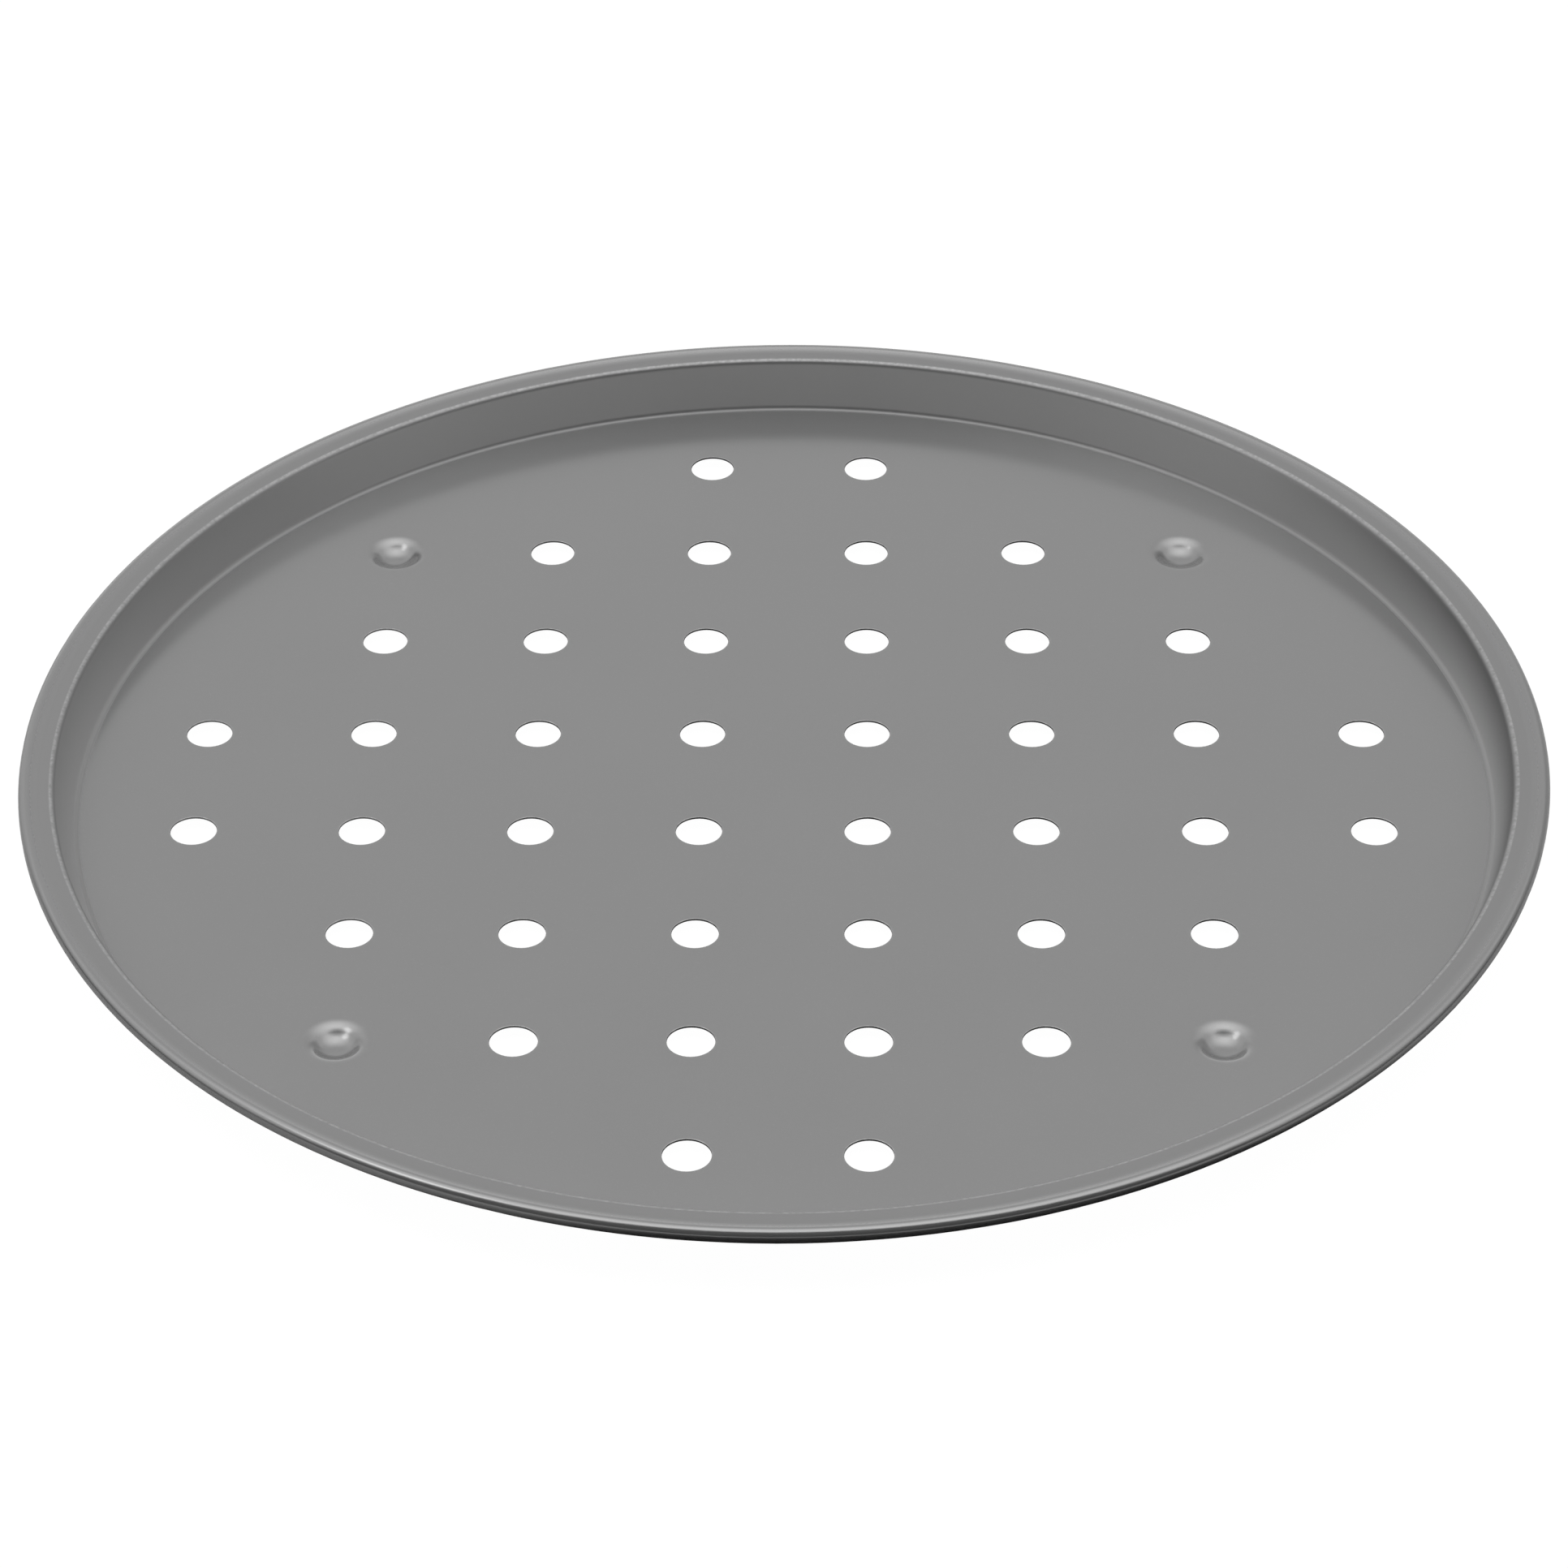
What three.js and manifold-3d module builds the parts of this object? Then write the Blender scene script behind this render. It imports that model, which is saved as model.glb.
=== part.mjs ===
// A round perforated baking pan: one pressed steel sheet, with its rim curled round a hoop of wire.
// Millimetres, +Z up. The origin is on the pan's axis, in the plane that the four feet stand on.
import * as THREE from 'three';
import { mergeVertices } from 'three/addons/utils/BufferGeometryUtils.js';
import Module from 'manifold-3d';

// Sheet, wall and flange. Every bend is given by the radius on its inner face.
const RIM_DIAMETER = 330; // over the curled rim
const SHEET = 0.5; // gauge of the steel
const DEPTH = 11.4; // from the floor up to the flange
const WALL_LEAN = 18; // degrees that the wall leans out from upright
const FLOOR_BEND = 1.4; // at the foot of the wall
const MOUTH_BEND = 1; // at the top of the wall
const FLANGE_WIDTH = 2.1; // flat ring between the mouth and the rim's neck

// Curled rim and the wire inside it
const CREST_RISE = 0.5; // from the flange up to the top of the rim
const NECK_BEND = 6; // where the flange turns up into the curl
const WIRE_DIAMETER = 1.7;
const WIRE_CLEARANCE = 0.3; // between the wire and the sheet round it
const CURL_WRAP = 270; // degrees that the sheet goes on round the wire from the top of the rim

// Perforations, on a square grid centred on the pan's axis
const HOLE_DIAMETER = 10;
const HOLE_ROWS = 8; // rows of the grid, and columns too
const PLAIN_BORDER = 24.38; // from the centres of the outermost holes to the edge of the flat floor

// Feet, pressed down out of the floor
const FOOT_DEPTH = 2.45;
const FOOT_FLAT = 1.5; // diameter of the flat that a foot stands on
const FOOT_BOTTOM_BEND = 5.7;
const FOOT_SHOULDER_BEND = 4.25;

// Fineness of the facets
const RIM_SIDES = 64;
const HOLE_SIDES = 16;
const FOOT_SIDES = 24;
const WIRE_SIDES = 10;
const BEND_FACET = 30; // largest turn of one facet of a bend, in degrees

const QUARTER_TURN = Math.PI / 2;
const WELD = 1e-4; // corners closer than this are one corner

const coating = { color: 0x8c8c8c, roughness: 0.38, metalness: 0.65 };
const wireSteel = { color: 0xb4b6b8, roughness: 0.3, metalness: 1 };

const { cos, sin } = Math;
const { degToRad, radToDeg } = THREE.MathUtils;

// The section of a bent sheet, drawn outward from the pan's axis or a foot's axis.
// It follows the middle of the sheet and notes the point on each face at every step.
class SheetSection {
  constructor(height) {
    this.middle = new THREE.Vector2(0, height);
    this.heading = 0; // degrees above straight outward
    this.upper = [];
    this.under = [];
    this.noteFaces();
  }

  noteFaces() {
    const square = degToRad(this.heading) + QUARTER_TURN;
    const toFace = new THREE.Vector2(cos(square), sin(square)).multiplyScalar(SHEET / 2);
    this.upper.push(this.middle.clone().add(toFace));
    this.under.push(this.middle.clone().sub(toFace));
  }

  straight(length) {
    const along = degToRad(this.heading);
    this.middle.add(new THREE.Vector2(cos(along), sin(along)).multiplyScalar(length));
    this.noteFaces();
  }

  // Turns up by a positive angle, or down by a negative one.
  bend(angle, innerRadius) {
    const steps = Math.ceil(Math.abs(angle) / BEND_FACET);
    const side = Math.sign(angle);
    const start = this.middle.clone();
    const from = degToRad(this.heading);
    const radius = middleRadius(innerRadius);
    for (let step = 1; step <= steps; step += 1) {
      const to = from + degToRad((angle * step) / steps);
      const chord = new THREE.Vector2(sin(to) - sin(from), cos(from) - cos(to));
      this.middle = chord.multiplyScalar(side * radius).add(start);
      this.heading = radToDeg(to);
      this.noteFaces();
    }
  }
}

function middleRadius(innerRadius) {
  return innerRadius + SHEET / 2;
}

// Two opposite bends of the same angle carry a sheet up and level it again: the rise from the angle.
function riseOfTwoBends(angle, innerRadius, otherInnerRadius) {
  return (middleRadius(innerRadius) + middleRadius(otherInnerRadius)) * (1 - cos(degToRad(angle)));
}

// The same the other way round: the angle from the rise.
function angleOfTwoBends(rise, innerRadius, otherInnerRadius) {
  const radii = middleRadius(innerRadius) + middleRadius(otherInnerRadius);
  return radToDeg(Math.acos(1 - rise / radii));
}

const floorMiddle = FOOT_DEPTH + SHEET / 2;
const curlInnerRadius = WIRE_DIAMETER / 2 + WIRE_CLEARANCE;

// The pan's section from its axis to the free edge tucked under the curl.
function panSection(flatRadius) {
  const wallTurn = 90 - WALL_LEAN;
  const wallHeight = DEPTH - riseOfTwoBends(wallTurn, FLOOR_BEND, MOUTH_BEND);
  const neckTurn = angleOfTwoBends(CREST_RISE, NECK_BEND, curlInnerRadius);
  const section = new SheetSection(floorMiddle);
  section.straight(flatRadius);
  section.bend(wallTurn, FLOOR_BEND);
  section.straight(wallHeight / cos(degToRad(WALL_LEAN)));
  section.bend(-wallTurn, MOUTH_BEND);
  section.straight(FLANGE_WIDTH);
  section.bend(neckTurn, NECK_BEND);
  section.bend(-neckTurn, curlInnerRadius);
  section.crest = section.middle.clone();
  section.bend(-CURL_WRAP, curlInnerRadius);
  return section;
}

// A foot's section: two opposite bends carry the sheet from the foot's flat up to the floor.
function footSection() {
  const slope = angleOfTwoBends(FOOT_DEPTH, FOOT_BOTTOM_BEND, FOOT_SHOULDER_BEND);
  const section = new SheetSection(SHEET / 2);
  section.straight(FOOT_FLAT / 2);
  section.bend(slope, FOOT_BOTTOM_BEND);
  section.bend(-slope, FOOT_SHOULDER_BEND);
  return section;
}

// Turns a section round the Z axis.
function turned(profile, sides) {
  return new THREE.LatheGeometry(profile, sides).rotateX(QUARTER_TURN);
}

const wasm = await Module();
wasm.setup();

function solidFrom(geometry) {
  geometry.deleteAttribute('normal');
  geometry.deleteAttribute('uv');
  const welded = mergeVertices(geometry, WELD);
  const corners = [];
  for (let first = 0; first < welded.index.count; first += 3) {
    const [a, b, c] = welded.index.array.slice(first, first + 3);
    // A facet that touches the axis with a whole side has no area.
    if (a !== b && b !== c && c !== a) corners.push(a, b, c);
  }
  const vertProperties = welded.attributes.position.array;
  const triVerts = Uint32Array.from(corners);
  return new wasm.Manifold(new wasm.Mesh({ numProp: 3, vertProperties, triVerts }));
}

function geometryFrom(solid) {
  const { vertProperties, triVerts } = solid.getMesh();
  const geometry = new THREE.BufferGeometry();
  geometry.setAttribute('position', new THREE.BufferAttribute(vertProperties, 3));
  geometry.setIndex(new THREE.BufferAttribute(triVerts, 1));
  return geometry;
}

// The flat floor takes what the wall and the rim leave of the pan's radius.
const rimReach = Math.max(...panSection(0).upper.map((point) => point.x));
const floorRadius = RIM_DIAMETER / 2 - rimReach;

// Places of the square grid, up to the circle through the middle holes of its outermost rows.
// The pitch is such that this circle leaves the plain border.
function gridPlaces() {
  const lines = Array.from({ length: HOLE_ROWS }, (_, line) => line - (HOLE_ROWS - 1) / 2);
  const nearest = lines[Math.floor(HOLE_ROWS / 2)];
  const outermost = new THREE.Vector2(nearest, lines.at(-1));
  const pitch = (floorRadius - PLAIN_BORDER) / outermost.length();
  const places = [];
  for (const row of lines) {
    for (const column of lines) {
      const place = new THREE.Vector2(column, row);
      if (place.lengthSq() <= outermost.lengthSq()) places.push(place.multiplyScalar(pitch));
    }
  }
  return places;
}

// The feet stand in the outermost places on the grid's two diagonals, and every other place is a hole.
function splitPlaces(places) {
  const onDiagonal = (place) => Math.abs(place.x) === Math.abs(place.y);
  const outermost = Math.max(...places.filter(onDiagonal).map((place) => place.x));
  const isFoot = (place) => onDiagonal(place) && Math.abs(place.x) === outermost;
  return { feet: places.filter(isFoot), holes: places.filter((place) => !isFoot(place)) };
}

// The dish before it is punched, closed along its free edge.
function dish(section) {
  return solidFrom(turned([...section.under, ...section.upper.toReversed()], RIM_SIDES));
}

// A solid under one face of a foot, closed flat at the given height.
function footFill(face, top) {
  const edge = face.at(-1).x;
  const lid = [new THREE.Vector2(edge, top), new THREE.Vector2(0, top)];
  return solidFrom(turned([...face, ...lid], FOOT_SIDES));
}

function panSheet(section) {
  const { feet, holes } = splitPlaces(gridPlaces());
  const foot = footSection();
  const boss = footFill(foot.under, floorMiddle);
  const hollow = footFill(foot.upper, floorMiddle + SHEET);
  const holeRadius = HOLE_DIAMETER / 2;
  const punchShape = new THREE.CylinderGeometry(holeRadius, holeRadius, 2 * SHEET, HOLE_SIDES);
  const punch = solidFrom(punchShape.rotateX(QUARTER_TURN));
  let solid = dish(section);
  for (const { x, y } of feet) {
    solid = solid.add(boss.translate([x, y, 0])).subtract(hollow.translate([x, y, 0]));
  }
  for (const { x, y } of holes) {
    solid = solid.subtract(punch.translate([x, y, floorMiddle]));
  }
  const mesh = new THREE.Mesh(geometryFrom(solid), new THREE.MeshStandardMaterial(coating));
  mesh.name = 'pan_sheet';
  return mesh;
}

// The hoop lies in the middle of the curl.
function rimWire(section) {
  const hoopRadius = section.crest.x;
  const profile = [];
  for (let side = 0; side <= WIRE_SIDES; side += 1) {
    const angle = (2 * Math.PI * side) / WIRE_SIDES;
    const point = new THREE.Vector2(cos(angle), sin(angle)).multiplyScalar(WIRE_DIAMETER / 2);
    profile.push(point.add(new THREE.Vector2(hoopRadius, 0)));
  }
  const mesh = new THREE.Mesh(turned(profile, RIM_SIDES), new THREE.MeshStandardMaterial(wireSteel));
  mesh.name = 'rim_wire';
  mesh.position.z = section.crest.y - middleRadius(curlInnerRadius);
  return mesh;
}

const section = panSection(floorRadius);
const pan = new THREE.Group();
pan.name = 'perforated_pan';
pan.add(panSheet(section), rimWire(section));

export default pan;
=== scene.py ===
"""A round perforated pan of coated sheet steel, dressed for its studio picture.

The pan is one pressed sheet: a flat floor with punched holes and pressed feet, a low leaning wall, a flat
flange and a rim curled round a hoop of wire. All lengths are in metres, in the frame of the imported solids.
"""

import logging
import math
from dataclasses import dataclass, field
from enum import Enum
from typing import Any

import bmesh
import bpy
import numpy as np
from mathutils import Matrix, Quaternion, Vector


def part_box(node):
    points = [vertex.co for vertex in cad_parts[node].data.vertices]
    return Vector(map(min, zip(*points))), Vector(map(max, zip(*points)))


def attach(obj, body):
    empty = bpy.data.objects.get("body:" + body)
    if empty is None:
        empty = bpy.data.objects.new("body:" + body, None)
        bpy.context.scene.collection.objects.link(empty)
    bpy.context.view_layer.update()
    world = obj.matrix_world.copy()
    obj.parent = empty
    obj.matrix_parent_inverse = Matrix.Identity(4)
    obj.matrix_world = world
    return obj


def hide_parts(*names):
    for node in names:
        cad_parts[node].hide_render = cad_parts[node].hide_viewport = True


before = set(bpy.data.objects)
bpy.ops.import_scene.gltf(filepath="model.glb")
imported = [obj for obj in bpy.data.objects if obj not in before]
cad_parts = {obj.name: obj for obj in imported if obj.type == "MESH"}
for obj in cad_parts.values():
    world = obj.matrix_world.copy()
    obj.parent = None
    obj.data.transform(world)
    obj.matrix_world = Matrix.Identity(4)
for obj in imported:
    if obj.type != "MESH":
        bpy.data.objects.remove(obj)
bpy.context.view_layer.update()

log = logging.getLogger("perforated_pan")

MILLIMETRE = 0.001
PHOTO_SIDE_PIXELS = 1932
BODY = "root"
WEAR_ATTRIBUTE = "wear"
DRAWN_ATTRIBUTE = "drawn"
ROUNDING = 1e-9
ROUND_DIGITS = 9
WELD_DISTANCE = 0.001 * MILLIMETRE
TRIAL_RADIUS = 0.001 * MILLIMETRE
NOISE_MIDDLE = 0.5
BENT_WORK = 0.5
STRETCHED_WORK = 1.0

Span = tuple[float, float]


class Face(Enum):
    """A face of the sheet, as the side of its middle line that the face lies on."""

    UPPER = 1.0
    UNDER = -1.0


class Socket:
    """A node's output, with the operators that build shader maths from it."""

    def __init__(self, board: "NodeBoard", output: bpy.types.NodeSocket) -> None:
        """Holds the output and the board that its maths is added to.

        Args:
            board: the node tree's board.
            output: the output socket.
        """
        self.board = board
        self.output = output

    def _math(self, operation: str, first: Any, second: Any) -> "Socket":
        """Adds a Math node with two values and returns its result."""
        return self.board.add("ShaderNodeMath", {"operation": operation}, {0: first, 1: second})

    def __add__(self, other: Any) -> "Socket":
        """Sum of two values."""
        return self._math("ADD", self, other)

    __radd__ = __add__

    def __sub__(self, other: Any) -> "Socket":
        """Difference of two values."""
        return self._math("SUBTRACT", self, other)

    def __rsub__(self, other: Any) -> "Socket":
        """Difference of a number and this value."""
        return self._math("SUBTRACT", other, self)

    def __mul__(self, other: Any) -> "Socket":
        """Product of two values."""
        return self._math("MULTIPLY", self, other)

    __rmul__ = __mul__

    def __pow__(self, exponent: Any) -> "Socket":
        """This value to a power."""
        return self._math("POWER", self, exponent)

    def clamped(self) -> "Socket":
        """This value, held between 0 and 1."""
        return self._math("MINIMUM", self._math("MAXIMUM", self, 0.0), 1.0)

    def rising(self, start: float, end: float) -> "Socket":
        """A share that rises from 0 at the start to 1 at the end, which may be the lower of the two."""
        return ((self - start) * (1.0 / (end - start))).clamped()


class NodeBoard:
    """A node tree that is being filled."""

    def __init__(self, tree: bpy.types.NodeTree) -> None:
        """Clears the tree.

        Args:
            tree: the material's or world's node tree.
        """
        self.tree = tree
        tree.nodes.clear()

    def node(self, kind: str, settings: dict[str, Any], inputs: dict[Any, Any]) -> bpy.types.Node:
        """Adds a node.

        Args:
            kind: the node's type.
            settings: attributes of the node, set first.
            inputs: socket name or number to a value or a Socket.

        Returns:
            The node.
        """
        node = self.tree.nodes.new(kind)
        for name, value in settings.items():
            setattr(node, name, value)
        for name, value in inputs.items():
            self.feed(node.inputs[name], value)
        return node

    def add(self, kind: str, settings: dict[str, Any], inputs: dict[Any, Any], output: Any = 0) -> Socket:
        """Adds a node and returns one of its outputs, by name or number."""
        return Socket(self, self.node(kind, settings, inputs).outputs[output])

    def part(self, vector: Socket, axis: str) -> Socket:
        """One component of a vector: X, Y or Z."""
        return self.add("ShaderNodeSeparateXYZ", {}, {"Vector": vector}, axis)

    def feed(self, target: bpy.types.NodeSocket, value: Any) -> None:
        """Links a Socket to an input, or sets the input's own value.

        Args:
            target: the input.
            value: a Socket, a number, a vector or a colour.
        """
        if isinstance(value, Socket):
            self.tree.links.new(value.output, target)
        else:
            target.default_value = value

    def noise(self, place: Socket, size: float, detail: float) -> Socket:
        """Smooth noise from about 0.3 to 0.7, with 0.5 as its middle.

        Args:
            place: the coordinates that it is read at, in metres.
            size: width of one patch of the noise, in metres.
            detail: number of finer layers.

        Returns:
            The noise's value.
        """
        inputs = {"Vector": place, "Scale": 1.0 / size, "Detail": detail}
        return self.add("ShaderNodeTexNoise", {"noise_dimensions": "3D"}, inputs, "Fac")

    def tint(self, share: Any, first: Any, second: Any) -> Socket:
        """A colour between two colours.

        Args:
            share: 0 for the first colour and 1 for the second.
            first: the first colour.
            second: the second colour.

        Returns:
            The mixed colour.
        """
        settings = {"data_type": "RGBA", "clamp_factor": True}
        # Inputs 6 and 7 and output 2 are the node's colours.
        return self.add("ShaderNodeMix", settings, {0: share, 6: first, 7: second}, 2)


def grey(level: float) -> tuple[float, float, float, float]:
    """A neutral colour of the given linear level."""
    return (level, level, level, 1.0)


@dataclass(frozen=True)
class CoatedSteelFinish:
    """Satin dark grey non-stick coating: a metallic-flake film with a fine stipple, thin on the edges, with
    painted light and shade on the wall, the bends and the flange.

    A film is given by its linear grey. A span is where a share starts to rise and where it is full.

    Attributes:
        film: on the flat sheet.
        darkest: share of the film's grey in the darkest clouds.
        lightest: share of the film's grey in the lightest clouds.
        tone_middle: place of the usual tone between the darkest and the lightest.
        cloud_tone: change of tone by the clouds.
        stipple_tone: change of tone by the stipple.
        flake: linear grey of the brightest flakes.
        flake_span: of the noise that makes flakes.
        flake_share: how much of a flake shows through the film.
        bare: linear grey of the steel that shows through on worn edges.
        wear_usual: share of the steel that shows on a fully worn edge.
        wear_patches: change of that share by the stipple.
        roughness: of the film.
        cloud_roughness: change of roughness by the clouds.
        stipple_roughness: change of roughness by the stipple.
        worn_roughness: of the edges.
        drawn_roughness: of the film where the press has bent or stretched the sheet.
        painted_shade_bend_film: painted shade, a darker film in the bends and on the flange.
        painted_light_wall_film: painted light, a lighter film on the straight wall at the front and the back.
        painted_light_low_films: painted light, low on the wall at the left and at the right.
        painted_high_films: high on the wall at the left and at the right, painted light at the left and
            painted shade at the right.
        right_span: across the pan, from the left painted films to the right ones.
        low_span: of the height, from the high painted films to the low ones.
        climb_span: of the height, from the painted bend shade to the low painted films in the bend at the
            wall's foot.
        beside_span: distance across the pan, from the painted film of the front and back to those of the
            sides.
        metallic: share of the film's reflection that is tinted as metal.
        ior: refractive index of the film.
        cloud: size of the slow changes of tone.
        stipple: size of the dimples left by spraying.
        flake_size: distance between flakes.
        stipple_height: depth of the dimples.
        stipple_strength: how much of that depth shows.
    """

    film: float = 0.195
    darkest: float = 0.92
    lightest: float = 1.14
    tone_middle: float = 0.35
    cloud_tone: float = 0.10
    stipple_tone: float = 0.08
    flake: float = 0.31
    flake_span: Span = (0.62, 0.82)
    flake_share: float = 0.20
    bare: float = 0.46
    wear_usual: float = 0.35
    wear_patches: float = 1.3
    roughness: float = 0.19
    cloud_roughness: float = 0.08
    stipple_roughness: float = 0.06
    worn_roughness: float = 0.22
    drawn_roughness: float = 0.42
    painted_shade_bend_film: float = 0.165
    painted_light_wall_film: float = 0.43
    painted_light_low_films: Span = (0.44, 0.41)
    painted_high_films: Span = (0.33, 0.14)
    right_span: Span = (-0.1, 0.1)
    low_span: Span = (13 * MILLIMETRE, 4 * MILLIMETRE)
    climb_span: Span = (3.0 * MILLIMETRE, 3.9 * MILLIMETRE)
    beside_span: Span = (0.11, 0.155)
    metallic: float = 0.57
    ior: float = 1.4
    cloud: float = 42 * MILLIMETRE
    stipple: float = 0.9 * MILLIMETRE
    flake_size: float = 0.28 * MILLIMETRE
    stipple_height: float = 0.006 * MILLIMETRE
    stipple_strength: float = 0.12

    def flat_film(self, board: NodeBoard, place: Socket, tone: Socket) -> Socket:
        """Film of the flat sheet: a changing tone and a scatter of brighter flakes.

        Args:
            board: the material's board.
            place: Object coordinates.
            tone: change of tone by the clouds and the stipple.

        Returns:
            The film's colour.
        """
        darkest = grey(self.darkest * self.film)
        lightest = grey(self.lightest * self.film)
        film = board.tint(self.tone_middle + tone, darkest, lightest)
        flakes = board.noise(place, self.flake_size, detail=1.0).rising(*self.flake_span)
        return board.tint(self.flake_share * flakes, film, grey(self.flake))

    def film_with_painted_light(self, board: NodeBoard, place: Socket, film: Socket, drawn: Socket) -> Socket:
        """Film with painted light and shade on the bends, the flange and the wall laid over that of the flat
        sheet.

        Args:
            board: the material's board.
            place: Object coordinates.
            film: colour of the flat sheet's film.
            drawn: work of the press.

        Returns:
            The film's colour.
        """
        across = board.part(place, "X")
        height = board.part(place, "Z")
        # Painted light and shade by place: lighter low on the wall, darker high on the right, lighter at the
        # front and back.
        to_right = across.rising(*self.right_span)
        painted_upper_wall = board.tint(to_right, *map(grey, self.painted_high_films))
        painted_lower_wall = board.tint(to_right, *map(grey, self.painted_light_low_films))
        low = height.rising(*self.low_span)
        beside = (across * across).rising(*(edge**2 for edge in self.beside_span))
        side = board.tint(low, painted_upper_wall, painted_lower_wall)
        stretched = board.tint(beside, grey(self.painted_light_wall_film), side)
        climbing = height.rising(*self.climb_span) * low * beside
        bent = board.tint(climbing, grey(self.painted_shade_bend_film), painted_lower_wall)
        # Painted shade over the bends and the flange.
        film = board.tint(drawn.rising(0.0, BENT_WORK), film, bent)
        # Painted light and shade over the straight wall.
        return board.tint(drawn.rising(BENT_WORK, STRETCHED_WORK), film, stretched)

    def material(self) -> bpy.types.Material:
        """Builds the coating's material.

        Returns:
            The material, which reads Object coordinates and the wear and drawn attributes.
        """
        made = bpy.data.materials.new("satin_nonstick_coating")
        made.use_nodes = True
        board = NodeBoard(made.node_tree)
        place = board.add("ShaderNodeTexCoord", {}, {}, "Object")
        cloud = board.noise(place, self.cloud, detail=3.0)
        stipple = board.noise(place, self.stipple, detail=2.0)
        edge = board.add("ShaderNodeAttribute", {"attribute_name": WEAR_ATTRIBUTE}, {}, "Fac")
        drawn = board.add("ShaderNodeAttribute", {"attribute_name": DRAWN_ATTRIBUTE}, {}, "Fac")
        clouding = cloud - NOISE_MIDDLE
        stippling = stipple - NOISE_MIDDLE
        film = self.flat_film(board, place, self.cloud_tone * clouding + self.stipple_tone * stippling)
        # Painted light and shade on the wall, the bends and the flange.
        film = self.film_with_painted_light(board, place, film, drawn)
        # Edges: the film is thin there, and the steel shows where the noise lets it.
        worn = (edge * (self.wear_usual + self.wear_patches * stippling)).clamped()
        colour = board.tint(worn, film, grey(self.bare))
        roughness = self.roughness + self.cloud_roughness * clouding + self.stipple_roughness * stippling
        roughness = roughness + drawn.rising(0.0, BENT_WORK) * (self.drawn_roughness - self.roughness)
        roughness = roughness - worn * (self.roughness - self.worn_roughness)
        relief = {"Strength": self.stipple_strength, "Distance": self.stipple_height, "Height": stipple}
        inputs = {
            "Base Color": colour,
            "Roughness": roughness,
            "Metallic": self.metallic,
            "IOR": self.ior,
            "Normal": board.add("ShaderNodeBump", {}, relief, "Normal"),
        }
        shader = board.add("ShaderNodeBsdfPrincipled", {}, inputs)
        board.node("ShaderNodeOutputMaterial", {}, {"Surface": shader})
        return made


@dataclass(frozen=True)
class DrawnWireFinish:
    """Bare drawn steel wire with fine lines along it.

    Attributes:
        steel: linear grey of the clean steel.
        dull: linear grey of the lubricant stain left by drawing.
        roughness: of the steel.
        stain: size of the stained patches.
        stain_start: level of the noise at which a stain sets in.
        stain_gain: how fast it deepens above that level.
        stain_roughness: change of roughness by the stain.
        line: spacing of the drawing lines.
        line_height: depth of the lines.
        line_strength: how much of that depth shows.
    """

    steel: float = 0.50
    dull: float = 0.30
    roughness: float = 0.32
    stain: float = 6 * MILLIMETRE
    stain_start: float = 0.3
    stain_gain: float = 1.6
    stain_roughness: float = 0.2
    line: float = 0.12 * MILLIMETRE
    line_height: float = 0.02 * MILLIMETRE
    line_strength: float = 0.2

    def material(self) -> bpy.types.Material:
        """Builds the wire's material.

        Returns:
            The material, which reads Object coordinates.
        """
        made = bpy.data.materials.new("drawn_steel_wire")
        made.use_nodes = True
        board = NodeBoard(made.node_tree)
        place = board.add("ShaderNodeTexCoord", {}, {}, "Object")
        stain = board.noise(place, self.stain, detail=3.0)
        turns = board.part(place, "Z") * (2 * math.pi / self.line)
        lines = board.add("ShaderNodeMath", {"operation": "SINE"}, {0: turns})
        stained = self.stain_gain * (stain - self.stain_start)
        relief = {"Strength": self.line_strength, "Distance": self.line_height, "Height": lines}
        inputs = {
            "Base Color": board.tint(stained, grey(self.steel), grey(self.dull)),
            "Roughness": self.roughness + self.stain_roughness * (stain - NOISE_MIDDLE),
            "Metallic": 1.0,
            "Normal": board.add("ShaderNodeBump", {}, relief, "Normal"),
        }
        shader = board.add("ShaderNodeBsdfPrincipled", {}, inputs)
        board.node("ShaderNodeOutputMaterial", {}, {"Surface": shader})
        return made


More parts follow.
